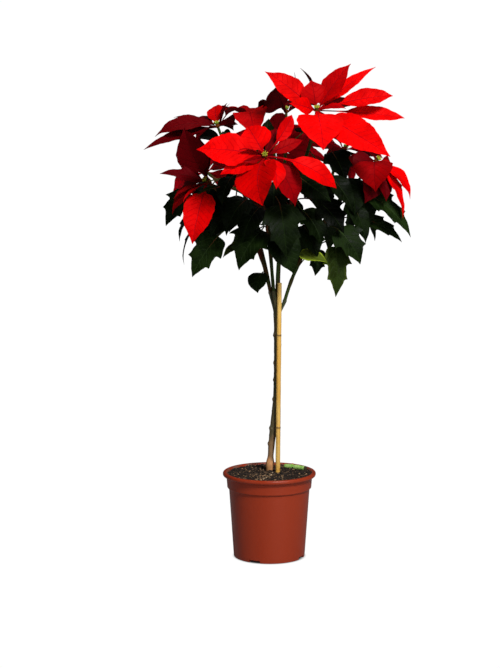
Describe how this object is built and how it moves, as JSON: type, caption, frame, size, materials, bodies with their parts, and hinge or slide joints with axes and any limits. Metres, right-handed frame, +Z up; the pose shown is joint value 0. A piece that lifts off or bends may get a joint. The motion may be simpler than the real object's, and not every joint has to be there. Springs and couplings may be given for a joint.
{
  "type": "potted poinsettia",
  "caption": "Poinsettia trained as a small standard tree: red bracts over dark green leaves on a bare stem, with a cane beside it, in a brown nursery pot.",
  "frame": {"origin": "middle of the pot's underside, where it stands", "axes": "+Z up along the pot's axis, the plant's front faces -Y, +X to its right"},
  "size_m": [0.482, 0.404, 0.8985],
  "materials": {
    "pot_plastic": "satin",
    "compost": "rough",
    "bark": "rough",
    "cane": "satin",
    "green_leaf": "satin",
    "red_bract": "satin",
    "cyathium": "satin",
    "cut_stem": "satin",
    "feed_pellet": "satin"
  },
  "bodies": {
    "root": {"pot": "pot_plastic", "compost": "compost", "trunk": "bark", "cane": "cane", "branch_front": "green_leaf", "branch_left_low": "green_leaf", "branch_left_top": "green_leaf", "branch_left_back": "green_leaf", "branch_right_top": "green_leaf", "branch_top_back": "green_leaf", "branch_right_low": "green_leaf", "bloom_front": "red_bract", "bloom_right_top": "red_bract", "bloom_left_top": "red_bract", "bloom_left_low": "red_bract", "bloom_top_back": "red_bract", "bloom_left_back": "red_bract", "bloom_right_low": "red_bract", "bloom_back_left": "red_bract", "bloom_back_middle": "red_bract", "bloom_back_right": "red_bract", "cyathia_front": "cyathium", "cyathia_right_top": "cyathium", "cyathia_left_top": "cyathium", "cyathia_left_low": "cyathium", "cyathia_top_back": "cyathium", "cyathia_left_back": "cyathium", "cyathia_right_low": "cyathium", "cyathia_back_left": "cyathium", "cyathia_back_middle": "cyathium", "cyathia_back_right": "cyathium", "cut_stem_piece": "cut_stem", "feed_pellet": "feed_pellet"}
  },
  "joints": []
}
